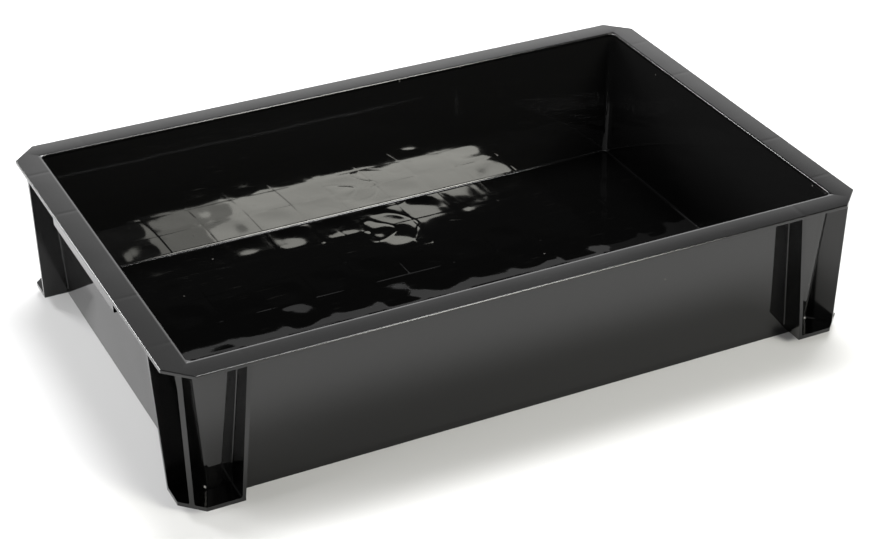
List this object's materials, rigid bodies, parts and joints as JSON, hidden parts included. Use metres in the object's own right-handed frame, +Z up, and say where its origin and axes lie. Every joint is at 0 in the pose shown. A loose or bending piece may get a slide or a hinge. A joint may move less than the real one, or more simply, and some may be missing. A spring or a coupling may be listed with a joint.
{
  "type": "stacking crate",
  "caption": "Shallow black moulded stacking crate: drafted tray with a flat chamfered rim, ribbed corner posts with feet, end grips and a nesting base.",
  "frame": {"origin": "middle of the base, on the surface that the crate stands on", "axes": "+X along the length towards the right-hand grip, +Y to the rear long side, +Z up out of the mouth"},
  "size_m": [0.6, 0.4, 0.13],
  "materials": {
    "black_plastic": "gloss black moulded polypropylene with slight waves and sink marks"
  },
  "bodies": {
    "root": {"crosswise_floor_rib_1": "black_plastic", "crosswise_floor_rib_10": "black_plastic", "crosswise_floor_rib_11": "black_plastic", "crosswise_floor_rib_2": "black_plastic", "crosswise_floor_rib_3": "black_plastic", "crosswise_floor_rib_4": "black_plastic", "crosswise_floor_rib_5": "black_plastic", "crosswise_floor_rib_6": "black_plastic", "crosswise_floor_rib_7": "black_plastic", "crosswise_floor_rib_8": "black_plastic", "crosswise_floor_rib_9": "black_plastic", "floor_panel": "black_plastic", "front_left_foot": "black_plastic", "front_left_post_diagonal_rib": "black_plastic", "front_left_post_long_rib": "black_plastic", "front_left_post_short_rib": "black_plastic", "front_right_foot": "black_plastic", "front_right_post_diagonal_rib": "black_plastic", "front_right_post_long_rib": "black_plastic", "front_right_post_short_rib": "black_plastic", "front_rim": "black_plastic", "front_skirt": "black_plastic", "front_wall": "black_plastic", "left_grip_front_web": "black_plastic", "left_grip_lip": "black_plastic", "left_grip_rear_web": "black_plastic", "left_rim": "black_plastic", "left_skirt": "black_plastic", "left_wall": "black_plastic", "lengthwise_floor_rib_1": "black_plastic", "lengthwise_floor_rib_2": "black_plastic", "lengthwise_floor_rib_3": "black_plastic", "lengthwise_floor_rib_4": "black_plastic", "lengthwise_floor_rib_5": "black_plastic", "lengthwise_floor_rib_6": "black_plastic", "lengthwise_floor_rib_7": "black_plastic", "rear_left_foot": "black_plastic", "rear_left_post_diagonal_rib": "black_plastic", "rear_left_post_long_rib": "black_plastic", "rear_left_post_short_rib": "black_plastic", "rear_right_foot": "black_plastic", "rear_right_post_diagonal_rib": "black_plastic", "rear_right_post_long_rib": "black_plastic", "rear_right_post_short_rib": "black_plastic", "rear_rim": "black_plastic", "rear_skirt": "black_plastic", "rear_wall": "black_plastic", "right_grip_front_web": "black_plastic", "right_grip_lip": "black_plastic", "right_grip_rear_web": "black_plastic", "right_rim": "black_plastic", "right_skirt": "black_plastic", "right_wall": "black_plastic"}
  },
  "joints": []
}
